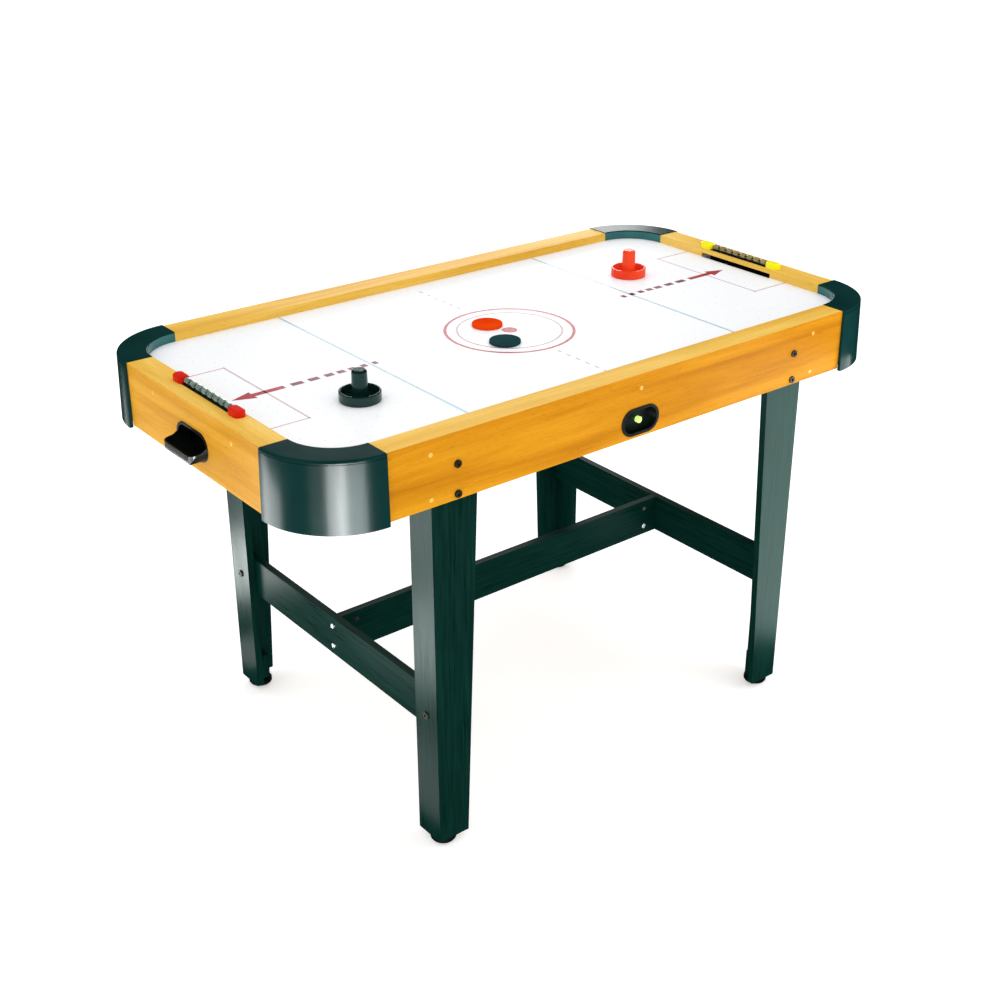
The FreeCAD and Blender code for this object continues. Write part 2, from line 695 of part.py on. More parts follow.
def power_inlet():
    """A flush socket in the back apron, open towards the outside."""
    x, low = cell.inlet_x, inlet_low
    half, height = cell.inlet_width / 2, cell.inlet_height
    gap, lip, wall = cell.hole_gap, cell.inlet_lip, cell.inlet_wall
    flange = block((x - half - lip, half_width, low - lip),
                   (x + half + lip, half_width + cell.bezel_thick, low + height + lip))
    flange = round_edges(flange, "Y", wall)
    case = block((x - half + gap, half_width - cell.inlet_depth, low + gap),
                 (x + half - gap, half_width + 1, low + height - gap))
    mouth = block((x - half + wall, half_width - cell.socket_depth, low + lip),
                  (x + half - wall, half_width + cell.bezel_thick + 1, low + height - lip))
    middle = low + height / 2
    live, neutral, earth = ((-lip, -2.5), (lip, -2.5), (0, 3.5))
    pins = [cylinder((x + along, half_width - cell.socket_depth - 2, middle + rise),
                     cell.pin_radius, cell.pin_length, "Y")
            for along, rise in (live, neutral, earth)]
    node(fuse(cut(fuse(flange, case), mouth), *pins), "power_inlet")


def fan_guard(half, low):
    """The moulded grille under the fan: a plate cut by ring slots, with two webs left across."""
    under = low - cell.guard_thick
    web = cell.guard_web / 2
    guard = round_edges(block((-half, -half, under), (half, half, low)), "Z", cell.fan_corner)
    rings = []
    for number in range(GUARD_RINGS):
        outer = cell.fan_tip - number * (cell.guard_slot + cell.guard_web)
        rings.append(cut(cylinder((0, 0, under - 1), outer, cell.guard_thick + 2),
                         cylinder((0, 0, under - 2), outer - cell.guard_slot,
                                  cell.guard_thick + 4)))
    reach = cell.fan_tip + 1
    webs = [block((-reach, -web, under - 1), (reach, web, low + 3)),
            block((-web, -reach, under - 1), (web, reach, low + 3))]
    return cut(guard, cut(fuse(*rings), *webs))


def fan_rotor(low):
    """A cup with pitched blades, turning on the motor's shaft."""
    cup_outer = cylinder((0, 0, low), cell.fan_hub, cell.rotor_height)
    cup_inner = cylinder((0, 0, low - 1), cell.motor_radius + 1, cell.rotor_height - 3.5)
    bore = cylinder((0, 0, low - 2), cell.shaft_radius + cell.running_gap, cell.rotor_height + 4)
    blades = []
    for number in range(FAN_BLADES):
        blade = doc.addObject("Part::Box", "Blade")
        bind(blade, "Length", cell.fan_tip - cell.fan_hub + 1)
        bind(blade, "Width", cell.blade_chord)
        bind(blade, "Height", cell.blade_thick)
        turn = (Rotation(AXIS["Z"], 360 * number / FAN_BLADES)
                * Rotation(AXIS["X"], BLADE_PITCH))
        root = Vector(cell.fan_hub.value - 1.5, -cell.blade_chord.value / 2,
                      -cell.blade_thick.value / 2)
        middle = Vector(0, 0, (low + cell.rotor_height / 2).value)
        blade.Placement = FreeCAD.Placement(middle + turn.multVec(root), turn)
        blades.append(blade)
    sweep = cylinder((0, 0, low - 2), cell.fan_tip, cell.rotor_height + 8)
    whole = common(fuse(cup_outer, *blades), sweep)
    node(cut(whole, cup_inner, bore), "fan_rotor")


def fan():
    """The axial fan under the plenum: frame with its moulded guard, motor and bladed rotor."""
    half, depth = cell.fan_side / 2, cell.fan_depth
    low = fan_top - depth
    frame = round_edges(block((-half, -half, low), (half, half, fan_top)), "Z", cell.fan_corner)
    frame = cut(frame, cylinder((0, 0, low - 1), cell.fan_bore, depth + 2))
    strut, reach = cell.fan_strut / 2, cell.fan_bore + 1
    seat_low = low + cell.strut_rise
    motor_low = seat_low + cell.strut_thick
    struts = [block((-reach, -strut, seat_low), (reach, strut, motor_low)),
              block((-strut, -reach, seat_low), (strut, reach, motor_low))]
    seat = cylinder((0, 0, seat_low), cell.motor_radius + 2, cell.strut_thick)
    node(fuse(frame, *struts, seat, fan_guard(half, low)), "fan_frame")
    motor = cylinder((0, 0, motor_low), cell.motor_radius, cell.motor_height)
    shaft = cylinder((0, 0, motor_low + 1), cell.shaft_radius, cell.shaft_length)
    node(fuse(motor, shaft), "fan_motor")
    fan_rotor(motor_low + cell.motor_height - cell.rotor_lap)


def scorer_post(x, face, inner, rod_z):
    """One domed end post with the pocket that holds the rod and the seat over the strip."""
    top, fit = cell.rail_top, 0.1
    y = face * cell.post_spread - cell.post_length / 2
    post = box((x - cell.post_width / 2, y, top),
               (cell.post_width, cell.post_length, cell.post_height))
    post = round_edges(post, "Z", cell.post_corner)
    crown = (top + cell.post_height).value
    post = round_picked(post, cell.post_round, lambda middle: abs(middle.z - crown) < 0.01)
    ends = ordered(face * (inner - 1), face * (inner + cell.post_bite))
    pocket = cylinder((x, ends[0], rod_z), cell.rod_radius + 0.02, ends[1] - ends[0], "Y")
    seat = block((x - cell.strip_width / 2 - fit, ends[0], top - 1),
                 (x + cell.strip_width / 2 + fit, ends[1], top + cell.strip_thick + fit))
    return cut(post, pocket, seat)


def scorer(name, side):
    """A bead scorer on a short rail: two end posts, a rod over a base strip, sliding beads."""
    x = side * (half_length - cell.scorer_inset)
    top = cell.rail_top
    rod_z = top + cell.rod_height
    inner = cell.post_spread - cell.post_length / 2
    node(group(scorer_post(x, face, inner, rod_z) for face in FACES.values()),
         f"scorer_posts_{name}")
    reach = inner + cell.post_bite - 1
    strip = block((x - cell.strip_width / 2, -reach, top),
                  (x + cell.strip_width / 2, reach, top + cell.strip_thick))
    rod = cylinder((x, -reach, rod_z), cell.rod_radius, reach * 2, "Y")
    node(group([strip, rod]), f"scorer_rod_{name}")
    pitch = inner * 2 / BEADS_PER_SCORER
    hole = cell.rod_radius + cell.running_gap
    points = [(hole, 0), (cell.bead_radius, 0), (cell.bead_radius, cell.bead_length),
              (hole, cell.bead_length)]
    for number in range(BEADS_PER_SCORER):
        y = pitch * (number + 0.5) - inner - cell.bead_length / 2
        bead = turned(points, cell.bead_round)
        place(bead, (x, y, rod_z), "X", -90)
        node(bead, f"score_bead_{name}_{number + 1}")


def pushers():
    """Round-rimmed pushers with a stout tapered handle, one black and one red."""
    rim, low = cell.pusher_radius, cell.pusher_floor
    lip, wall = cell.pusher_rim, cell.pusher_wall
    knob, height = cell.knob_radius, cell.pusher_height
    points = [(0, 0), (rim, 0), (rim, lip), (rim - wall, lip), (rim - wall * 2, low),
              (knob + 2, low), (knob, low + 8), (knob - 1, height - wall), (knob - wall, height),
              (0, height)]
    for colour, x, y in (("black", cell.black_pusher_x, cell.black_pusher_y),
                         ("red", cell.red_pusher_x, cell.red_pusher_y)):
        body = turned(points, as_size(1.5))
        node(place(body, (x, y, playfield + cell.air_gap)), f"pusher_{colour}")


def pucks():
    """Flat pucks with a raised band round the rim."""
    thick, radius, band = cell.puck_thick, cell.puck_radius, cell.puck_band
    points = [(0, 0), (radius, 0), (radius, thick), (radius - band, thick),
              (radius - band - 1, thick - 1), (0, thick - 1)]
    for colour, x, y in (("orange", cell.orange_puck_x, cell.orange_puck_y),
                         ("black", cell.black_puck_x, cell.black_puck_y)):
        body = turned(points, as_size(0.8))
        node(place(body, (x, y, playfield + cell.air_gap)), f"puck_{colour}")


def check_model():
    """Stops before anything is written if a feature failed or a sub-part isn't sound."""
    doc.recompute()
    for thing in doc.Objects:
        if "Invalid" in thing.State or "Error" in thing.State:
            raise RuntimeError(f"{thing.Name} ({thing.Label}) failed: {thing.State}")
    for label, thing in nodes.items():
        if thing.Shape.isNull() or not thing.Shape.isValid() or not thing.Shape.Solids:
            raise RuntimeError(f"{label} has no sound shape")


def write_parts():
    os.makedirs("parts", exist_ok=True)
    for label, thing in nodes.items():
        thing.Shape.exportStep(f"parts/{label}.step")
        bounds = thing.Shape.BoundBox
        print(f"{label:26s} solids {len(thing.Shape.Solids):2d}  volume {thing.Shape.Volume:11.0f}"
              f"  x {bounds.XMin:8.1f} {bounds.XMax:8.1f}  y {bounds.YMin:8.1f} {bounds.YMax:8.1f}"
              f"  z {bounds.ZMin:7.1f} {bounds.ZMax:7.1f}")
    print(len(nodes), "sub-parts")


playfield_panel()
plenum()
long_sides()
short_ends()
corner_caps()
legs()
stretchers()
leg_bolts()
switch()
power_inlet()
fan()
for side_name, side_sign in SIDES.items():
    goal_box(side_name, side_sign)
    scorer(side_name, side_sign)
pushers()
pucks()
check_model()
write_parts()
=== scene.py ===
"""Looks of the air hockey table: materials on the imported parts, the printed playfield, small trim,
a white studio and a camera."""
import math

import bmesh
import bpy
from mathutils import Matrix, Vector


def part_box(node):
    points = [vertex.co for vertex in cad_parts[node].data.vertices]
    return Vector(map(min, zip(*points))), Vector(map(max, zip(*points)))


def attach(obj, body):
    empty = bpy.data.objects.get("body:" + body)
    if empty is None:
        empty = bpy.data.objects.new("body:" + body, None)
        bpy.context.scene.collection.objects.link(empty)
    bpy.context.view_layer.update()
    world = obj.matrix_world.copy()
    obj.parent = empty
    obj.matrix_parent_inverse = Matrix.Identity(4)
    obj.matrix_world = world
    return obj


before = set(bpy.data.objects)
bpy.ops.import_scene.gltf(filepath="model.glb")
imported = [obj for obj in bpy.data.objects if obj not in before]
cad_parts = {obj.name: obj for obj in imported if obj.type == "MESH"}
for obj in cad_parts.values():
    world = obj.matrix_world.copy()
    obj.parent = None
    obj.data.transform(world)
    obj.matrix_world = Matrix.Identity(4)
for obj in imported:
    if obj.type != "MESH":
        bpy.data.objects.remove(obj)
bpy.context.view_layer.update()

MM = 0.001
ROOT = "root"
SIDES = (-1, 1)

# ---------------------------------------------------------------- places read from the frame
PLAY_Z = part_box("playfield_panel")[1].z
RAIL_LOW, RAIL_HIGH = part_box("rail_front")
END_LOW, END_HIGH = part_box("rail_right")
RAIL_TOP = RAIL_HIGH.z
HALF_LENGTH = END_HIGH.x
HALF_WIDTH = -RAIL_LOW.y
INNER_X = END_LOW.x
INNER_Y = -RAIL_HIGH.y
CORNER_X = RAIL_HIGH.x
CORNER_Y = END_HIGH.y
CORNER_RADIUS = INNER_X - CORNER_X

# ---------------------------------------------------------------- colour and shader helpers
# The range that a noise texture mostly stays in.
NOISE_LOW, NOISE_HIGH = 0.3, 0.7
# The colour sockets of a Mix node, which has several of the same name.
MIX_FACTOR, MIX_FIRST, MIX_SECOND, MIX_RESULT = 0, 6, 7, 2


def srgb(red, green, blue):
    """A colour given as screen values from 0 to 255, as a linear colour."""
    def linear(value):
        value /= 255
        return value / 12.92 if value <= 0.04045 else ((value + 0.055) / 1.055) ** 2.4
    return (linear(red), linear(green), linear(blue), 1)


def stretch(along, run, across):
    """Noise scales per metre: run on the axis that the grain follows, across on the others."""
    return tuple(run if axis == along else across for axis in "XYZ")


class Shader:
    """A material under construction, with short calls for the nodes that it needs."""

    def __init__(self, name, **values):
        self.material = bpy.data.materials.new(name)
        self.material.use_nodes = True
        self.tree = self.material.node_tree
        self.surface = self.tree.nodes["Principled BSDF"]
        for socket, value in values.items():
            self.surface.inputs[socket.replace("_", " ")].default_value = value
        coordinates = self.tree.nodes.new("ShaderNodeTexCoord")
        self.position = coordinates.outputs["Object"]

    def link(self, source, target):
        self.tree.links.new(source, target)

    def feed(self, source, socket):
        self.link(source, self.surface.inputs[socket])

    def noise(self, scale=1, size=(1, 1, 1), detail=4, roughness=0.5, distortion=0):
        """Noise over the object's own coordinates, which size scales on each axis."""
        mapping = self.tree.nodes.new("ShaderNodeMapping")
        mapping.inputs["Scale"].default_value = size
        self.link(self.position, mapping.inputs["Vector"])
        node = self.tree.nodes.new("ShaderNodeTexNoise")
        self.link(mapping.outputs["Vector"], node.inputs["Vector"])
        node.inputs["Scale"].default_value = scale
        node.inputs["Detail"].default_value = detail
        node.inputs["Roughness"].default_value = roughness
        node.inputs["Distortion"].default_value = distortion
        return node.outputs["Fac"]

    def ramp(self, source, stops):
        """Colours or greys along a value: stops are two or three (place, colour) pairs."""
        node = self.tree.nodes.new("ShaderNodeValToRGB")
        elements = node.color_ramp.elements
        while len(elements) < len(stops):
            elements.new(0.5)
        for element, (place, colour) in zip(elements, stops):
            element.position = place
            element.color = colour if hasattr(colour, "__len__") else (colour, colour, colour, 1)
        self.link(source, node.inputs["Fac"])
        return node.outputs["Color"]

    def tones(self, source, dark, light):
        """Two colours over a noise's usual range."""
        return self.ramp(source, [(NOISE_LOW, dark), (NOISE_HIGH, light)])

    def darken(self, colour, source, stops, amount):
        """Multiplies a colour by the greys along a value, as strongly as amount says."""
        greys = self.ramp(source, stops)
        node = self.tree.nodes.new("ShaderNodeMix")
        node.data_type = "RGBA"
        node.blend_type = "MULTIPLY"
        node.inputs[MIX_FACTOR].default_value = amount
        self.link(colour, node.inputs[MIX_FIRST])
        self.link(greys, node.inputs[MIX_SECOND])
        return node.outputs[MIX_RESULT]

    def spread(self, source, low, high):
        """Maps a noise's usual range onto low to high."""
        node = self.tree.nodes.new("ShaderNodeMapRange")
        node.inputs["From Min"].default_value = NOISE_LOW
        node.inputs["From Max"].default_value = NOISE_HIGH
        node.inputs["To Min"].default_value = low
        node.inputs["To Max"].default_value = high
        self.link(source, node.inputs["Value"])
        return node.outputs["Result"]

    def bump(self, source, depth, strength=1.0):
        """Feeds a height of that depth, in metres, into the normal."""
        node = self.tree.nodes.new("ShaderNodeBump")
        node.inputs["Distance"].default_value = depth
        node.inputs["Strength"].default_value = strength
        self.link(source, node.inputs["Height"])
        self.feed(node.outputs["Normal"], "Normal")


# ---------------------------------------------------------------- materials
def beech(name, along, light, middle, deep):
    """Printed beech foil: long soft figure, fine grain and short dark flecks along one axis."""
    shader = Shader(name, Specular_IOR_Level=0.015, Specular_Tint=srgb(255, 222, 160))
    figure = shader.noise(size=stretch(along, 1.6, 22), detail=5, roughness=0.55, distortion=0.6)
    colour = shader.ramp(figure, [(0.32, deep), (0.5, middle), (0.68, light)])
    grain = shader.noise(size=stretch(along, 9, 420), detail=3, roughness=0.6)
    colour = shader.darken(colour, grain, [(0.3, 0.72), (0.62, 1.0)], amount=0.45)
    flecks = shader.noise(size=stretch(along, 70, 900), detail=1)
    colour = shader.darken(colour, flecks, [(0.25, 0.45), (0.36, 1.0)], amount=0.5)
    shader.feed(colour, "Base Color")
    shader.feed(shader.spread(grain, 0.3, 0.42), "Roughness")
    shader.bump(grain, 0.06 * MM, strength=0.5)
    return shader.material


def moulded(name, dark, light, roughness, texture=0.05, scale=900, mottle=18, **values):
    """Moulded plastic: a faint cloud in the colour, mottle times per metre, and a fine leathery
    texture, scale times per metre and texture millimetres deep."""
    shader = Shader(name, **values)
    cloud = shader.noise(mottle, detail=3)
    shader.feed(shader.tones(cloud, dark, light), "Base Color")
    fine = shader.noise(scale, detail=2)
    shader.feed(shader.spread(fine, roughness - 0.05, roughness + 0.05), "Roughness")
    shader.bump(fine, texture * MM)
    return shader.material


def metal(name, dark, light, roughness):
    """Plated or blackened steel with fine turning marks."""
    shader = Shader(name, Metallic=1.0)
    marks = shader.noise(size=(400, 400, 400), detail=2)
    shader.feed(shader.tones(marks, dark, light), "Base Color")
    shader.feed(shader.spread(marks, roughness - 0.06, roughness + 0.08), "Roughness")
    return shader.material


def laminate():
    """White playfield laminate: nearly flat, with a faint cloud and small scuffs in the gloss."""
    shader = Shader("playfield_laminate", Specular_IOR_Level=0.02)
    cloud = shader.noise(3)
    shader.feed(shader.tones(cloud, srgb(246, 249, 252), srgb(251, 252, 254)), "Base Color")
    scuffs = shader.noise(14, roughness=0.6)
    shader.feed(shader.spread(scuffs, 0.3, 0.36), "Roughness")
    return shader.material


def board():
    """Raw fibre board on the underside."""
    shader = Shader("raw_board", Specular_IOR_Level=0.2)
    fibres = shader.noise(220, detail=6, roughness=0.7)
    colour = shader.tones(fibres, srgb(128, 100, 70), srgb(170, 140, 104))
    cloud = shader.noise(7, detail=3)
    colour = shader.darken(colour, cloud, [(NOISE_LOW, 0.8), (NOISE_HIGH, 1.0)], amount=0.6)
    shader.feed(colour, "Base Color")
    shader.feed(shader.spread(fibres, 0.75, 0.95), "Roughness")
    shader.bump(fibres, 0.2 * MM, strength=0.6)
    return shader.material


def dark_foil(name, along, gloss):
    """The dark satin foil on legs and stretchers, with a drawn grain along one axis."""
    shader = Shader(name, Specular_IOR_Level=gloss, Specular_Tint=srgb(170, 255, 240))
    grain = shader.noise(size=stretch(along, 10, 260), roughness=0.6)
    cloud = shader.noise(5, detail=3)
    colour = shader.tones(grain, srgb(2, 32, 26), srgb(9, 50, 44))
    colour = shader.darken(colour, cloud, [(NOISE_LOW, 0.75), (NOISE_HIGH, 1.0)], amount=0.5)
    shader.feed(colour, "Base Color")
    shader.feed(shader.spread(grain, 0.26, 0.36), "Roughness")
    shader.bump(grain, 0.05 * MM, strength=0.5)
    return shader.material


def cap_plastic():
    """Satin corner plastic with faint upright draw lines."""
    shader = Shader("cap_plastic", Specular_IOR_Level=0.03)
    cloud = shader.noise(9, detail=3)
    shader.feed(shader.tones(cloud, srgb(8, 44, 42), srgb(16, 55, 53)), "Base Color")
    lines = shader.noise(size=stretch("Z", 6, 420), detail=3)
    shader.feed(shader.spread(lines, 0.2, 0.26), "Roughness")
    shader.bump(lines, 0.02 * MM, strength=0.4)
    return shader.material


def ink(name, colour, faded):
    """Screen-printed ink, a little uneven where the mesh left less of it."""
    shader = Shader(name, Specular_IOR_Level=0.2)
    patchy = shader.noise(160, roughness=0.7)
    shader.feed(shader.ramp(patchy, [(NOISE_LOW, faded), (0.6, colour)]), "Base Color")
    shader.feed(shader.spread(patchy, 0.3, 0.42), "Roughness")
    return shader.material


def glowing_button():
    """Translucent green plastic that glows evenly, as if lit from behind."""
    shader = Shader("green_button", Transmission_Weight=0.15, Emission_Strength=0.7)
    grain = shader.noise(300, detail=2)
    colour = shader.tones(grain, srgb(172, 234, 92), srgb(208, 250, 142))
    shader.feed(colour, "Base Color")
    shader.feed(colour, "Emission Color")
    shader.feed(shader.spread(grain, 0.2, 0.3), "Roughness")
    return shader.material


# One beech foil in three tone sets of painted light: the lightest tones on the rail tops as painted
# light, a middle tone on the end aprons and the darkest on the long aprons as painted shade.
TOP_PAINTED_LIT_TONES = [srgb(250, 209, 110), srgb(242, 194, 86), srgb(229, 174, 62)]
END_PAINTED_HALF_SHADE_TONES = [srgb(234, 176, 68), srgb(224, 162, 50), srgb(206, 142, 36)]
FRONT_PAINTED_SHADE_TONES = [srgb(222, 153, 31), srgb(210, 139, 24), srgb(190, 119, 17)]
TEAL_TINT = srgb(190, 255, 250)
MATERIALS = {
    # The rail tops wear the lit copy of the foil, and the end and long aprons wear its shaded
    # copies.
    "long_foil_painted_lit_top": beech("long_foil_painted_lit_top", "X", *TOP_PAINTED_LIT_TONES),
    "end_foil_painted_lit_top": beech("end_foil_painted_lit_top", "Y", *TOP_PAINTED_LIT_TONES),
    "foil_long": beech("foil_long", "X", *FRONT_PAINTED_SHADE_TONES),
    "foil_end": beech("foil_end", "Y", *END_PAINTED_HALF_SHADE_TONES),
    "laminate": laminate(),
    "board": board(),
    "cap": cap_plastic(),
    "leg": dark_foil("leg_foil", "Z", gloss=0.04),
    "stretcher_end": dark_foil("stretcher_foil_end", "Y", gloss=0.014),
    "stretcher_long": dark_foil("stretcher_foil_long", "X", gloss=0.02),
    "black": moulded("black_plastic", srgb(4, 12, 10), srgb(12, 23, 19), roughness=0.35,
                     Specular_IOR_Level=0.1),
    "rubber": moulded("foot_plastic", srgb(4, 9, 8), srgb(14, 20, 18), roughness=0.5,
                      texture=0.1, scale=500, Specular_IOR_Level=0.02),
    "bolt": metal("dark_bolt", srgb(16, 14, 10), srgb(34, 30, 24), roughness=0.5),
    "zinc": metal("zinc_screw", srgb(170, 172, 168), srgb(214, 214, 208), roughness=0.28),
    "motor": metal("motor_can", srgb(120, 122, 124), srgb(160, 162, 164), roughness=0.35),
    "green": glowing_button(),
    "red_post": moulded("red_post", srgb(204, 26, 10), srgb(226, 44, 20), roughness=0.26,
                        texture=0.02, scale=600, Specular_IOR_Level=0.1),
    "yellow_post": moulded("yellow_post", srgb(244, 230, 10), srgb(254, 245, 34),
                           roughness=0.26, texture=0.02, scale=600, Specular_IOR_Level=0.1),
    "smoke_bead": moulded("smoke_bead", srgb(104, 132, 124), srgb(156, 182, 174),
                          roughness=0.15, texture=0.01, scale=600, mottle=120,
                          Transmission_Weight=0.3, Specular_IOR_Level=0.4),
    "dark_bead": moulded("dark_bead", srgb(128, 120, 84), srgb(168, 160, 120), roughness=0.18,
                         texture=0.01, scale=600, mottle=120, Specular_IOR_Level=0.3),
    "black_gloss": moulded("black_gloss", srgb(8, 28, 25), srgb(16, 40, 37), roughness=0.2,
                           texture=0.02, scale=500, Specular_IOR_Level=0.5,
                           Specular_Tint=TEAL_TINT),
    "red_gloss": moulded("red_gloss", srgb(234, 44, 20), srgb(250, 82, 40), roughness=0.26,
                         texture=0.02, scale=500, Specular_IOR_Level=0.15),
    "orange_puck": moulded("orange_puck", srgb(226, 58, 8), srgb(240, 76, 16), roughness=0.42,
                           texture=0.04, scale=500, Specular_IOR_Level=0.0),
    "black_puck": moulded("black_puck", srgb(30, 60, 64), srgb(42, 74, 78), roughness=0.42,
                          texture=0.04, scale=500, Specular_IOR_Level=0.0),
}

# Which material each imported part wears, by the start of its name. The first match counts.
WEARS = {
    "rail_front": "long_foil_painted_lit_top", "rail_back": "long_foil_painted_lit_top", "rail_": "end_foil_painted_lit_top",
    "apron_front": "foil_long", "apron_back": "foil_long", "apron_": "foil_end",
    "playfield": "laminate", "plenum": "board", "corner_cap": "cap", "leg_bolts": "bolt",
    "leg_": "leg", "end_stretcher": "stretcher_end", "centre_stretcher": "stretcher_long",
    "stretcher_connectors": "zinc", "leveller": "rubber", "fan_motor": "motor", "fan_": "black",
    "goal_box": "black", "switch_bezel": "black", "power_inlet": "black",
    "power_button": "green", "scorer_rod": "black", "scorer_posts_left": "red_post",
    "scorer_posts_right": "yellow_post", "score_bead_left": "smoke_bead",
    "score_bead_right": "dark_bead", "pusher_black": "black_gloss", "pusher_red": "red_gloss",
    "puck_orange": "orange_puck", "puck_black": "black_puck",
}


def wear(thing, material):
    thing.data.materials.clear()
    thing.data.materials.append(material)


def dress_nodes():
    for name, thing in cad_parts.items():
        start = next(start for start in WEARS if name.startswith(start))
        wear(thing, MATERIALS[WEARS[start]])


# ---------------------------------------------------------------- mesh helpers
INK = 0.15 * MM


def place(name, data):
    """Adds an object to the scene."""
    thing = bpy.data.objects.new(name, data)
    bpy.context.scene.collection.objects.link(thing)
    return thing


def piece(name, mesh, material, body=ROOT):
    """Turns a bmesh into a piece that rides on a body."""
    data = bpy.data.meshes.new(name)
    bmesh.ops.recalc_face_normals(mesh, faces=mesh.faces)
    mesh.to_mesh(data)
    mesh.free()
    thing = place(name, data)
    wear(thing, material)
    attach(thing, body)


def bar(x_low, x_high, y_low, y_high):
    return [(x_low, y_low), (x_high, y_low), (x_high, y_high), (x_low, y_high)]


def disc(centre, radius, steps):
    return [(centre[0] + radius * math.cos(math.tau * step / steps),
             centre[1] + radius * math.sin(math.tau * step / steps)) for step in range(steps)]


def bridge(mesh, first, second):
    """Joins two closed loops of vertices with a band of faces."""
    count = len(first)
    for number in range(count):
        after = (number + 1) % count
        mesh.faces.new((first[number], first[after], second[after], second[number]))


def raised(mesh, outline, base=PLAY_Z, height=INK):
    """Adds a thin flat-topped print to a mesh from its outline of x and y."""
    low = [mesh.verts.new((x, y, base)) for x, y in outline]
    high = [mesh.verts.new((x, y, base + height)) for x, y in outline]
    mesh.faces.new(high)
    mesh.faces.new(list(reversed(low)))
    bridge(mesh, low, high)


def raised_ring(mesh, centre, outer, line, base=PLAY_Z, height=INK, steps=128):
    """Adds a thin flat ring to a mesh, as wide as line."""
    inner = outer - line
    loops = [[mesh.verts.new((x, y, level)) for x, y in disc(centre, radius, steps)]
             for radius, level in ((inner, base), (outer, base), (outer, base + height),
                                   (inner, base + height))]
    for first, second in zip(loops, loops[1:] + loops[:1]):
        bridge(mesh, first, second)


# ---------------------------------------------------------------- the printed playfield
RING_CENTRE = (-10 * MM, -14 * MM)
RING_OUTER, RING_OUTER_LINE = 128 * MM, 6 * MM
RING_INNER, RING_INNER_LINE = 104 * MM, 4 * MM
SPOT_RADIUS, SPOT_STEPS = 15 * MM, 48
BLUE_X, BLUE_WIDTH, BLUE_END_GAP = 323 * MM, 5 * MM, 2 * MM
CREASE_X, CREASE_Y, CREASE_LINE = 540 * MM, 147 * MM, 3 * MM
ARROW_TIP, ARROW_HEAD, ARROW_TAIL = 602 * MM, 560 * MM, 498 * MM
ARROW_HALF_HEAD, ARROW_HALF_SHAFT = 16 * MM, 6.5 * MM
# The dashes behind each arrow, from its tail inwards: their distances from the table's middle
# and half their lengths, in millimetres.
DASH_PLACES = (472, 438, 406, 381, 357, 332, 308)
DASH_HALF_LENGTHS = (12, 10.5, 9, 8, 7, 6, 5)
DASH_HALF_WIDTH = 6.5 * MM
ARROWS_SHIFT = -5 * MM
MIDDLE_DASH, MIDDLE_PITCH, MIDDLE_HALF_WIDTH = 12 * MM, 26 * MM, 1.6 * MM
HOLE_PITCH, HOLE_RADIUS, HOLE_STEPS = 30 * MM, 0.7 * MM, 10
HOLE_HEIGHT = 1.4 * INK


def red_prints():
    """The outer ring, the centre spot and the two arrows."""
    mesh = bmesh.new()
    raised_ring(mesh, RING_CENTRE, RING_OUTER, RING_OUTER_LINE)
    raised(mesh, disc(RING_CENTRE, SPOT_RADIUS, SPOT_STEPS))
    for side in SIDES:
        half = [(ARROW_TIP, 0), (ARROW_HEAD, ARROW_HALF_HEAD), (ARROW_HEAD, ARROW_HALF_SHAFT),
                (ARROW_TAIL, ARROW_HALF_SHAFT)]
        outline = half + [(x, -y) for x, y in reversed(half[1:])]
        raised(mesh, [(side * x + ARROWS_SHIFT, y) for x, y in outline])
    piece("print_red", mesh, ink("ink_red", srgb(172, 28, 40), srgb(186, 62, 70)))


def maroon_prints():
    """The row of dashes behind each arrow."""
    mesh = bmesh.new()
    for side in SIDES:
        for distance, half in zip(DASH_PLACES, DASH_HALF_LENGTHS):
            middle = side * distance * MM + ARROWS_SHIFT
            raised(mesh, bar(middle - half * MM, middle + half * MM, -DASH_HALF_WIDTH,
                             DASH_HALF_WIDTH))
    piece("print_maroon", mesh, ink("ink_maroon", srgb(124, 34, 50), srgb(146, 68, 80)))


def pink_prints():
    """The goal creases, in a thinner and paler line."""
    mesh = bmesh.new()
    for side in SIDES:
        x_low, x_high = sorted((side * CREASE_X, side * INNER_X))
        front_low, front_high = sorted((side * CREASE_X, side * (CREASE_X + CREASE_LINE)))
        raised(mesh, bar(front_low, front_high, -CREASE_Y, CREASE_Y))
        for face in SIDES:
            y_low, y_high = sorted((face * CREASE_Y, face * (CREASE_Y - CREASE_LINE)))
            raised(mesh, bar(x_low, x_high, y_low, y_high))
    piece("print_pink", mesh, ink("ink_pink", srgb(198, 156, 172), srgb(220, 188, 200)))


def blue_prints():
    """The two lines across the playfield."""
    mesh = bmesh.new()
    reach = INNER_Y - BLUE_END_GAP
    for side in SIDES:
        raised(mesh, bar(side * BLUE_X - BLUE_WIDTH / 2, side * BLUE_X + BLUE_WIDTH / 2, -reach,
                         reach))
    piece("print_blue", mesh, ink("ink_blue", srgb(166, 198, 210), srgb(196, 218, 228)))


def grey_prints():
    """The inner ring and the faint dashed line across the middle, broken by the circle."""
    mesh = bmesh.new()
    raised_ring(mesh, RING_CENTRE, RING_INNER, RING_INNER_LINE)
    x, y = RING_CENTRE[0], -INNER_Y + MIDDLE_PITCH
    while y < INNER_Y - MIDDLE_PITCH:
        if abs(y + MIDDLE_DASH / 2 - RING_CENTRE[1]) > RING_OUTER + MIDDLE_DASH:
            raised(mesh, bar(x - MIDDLE_HALF_WIDTH, x + MIDDLE_HALF_WIDTH, y, y + MIDDLE_DASH))
        y += MIDDLE_PITCH
    piece("print_grey", mesh, ink("ink_grey", srgb(176, 146, 156), srgb(200, 178, 186)))


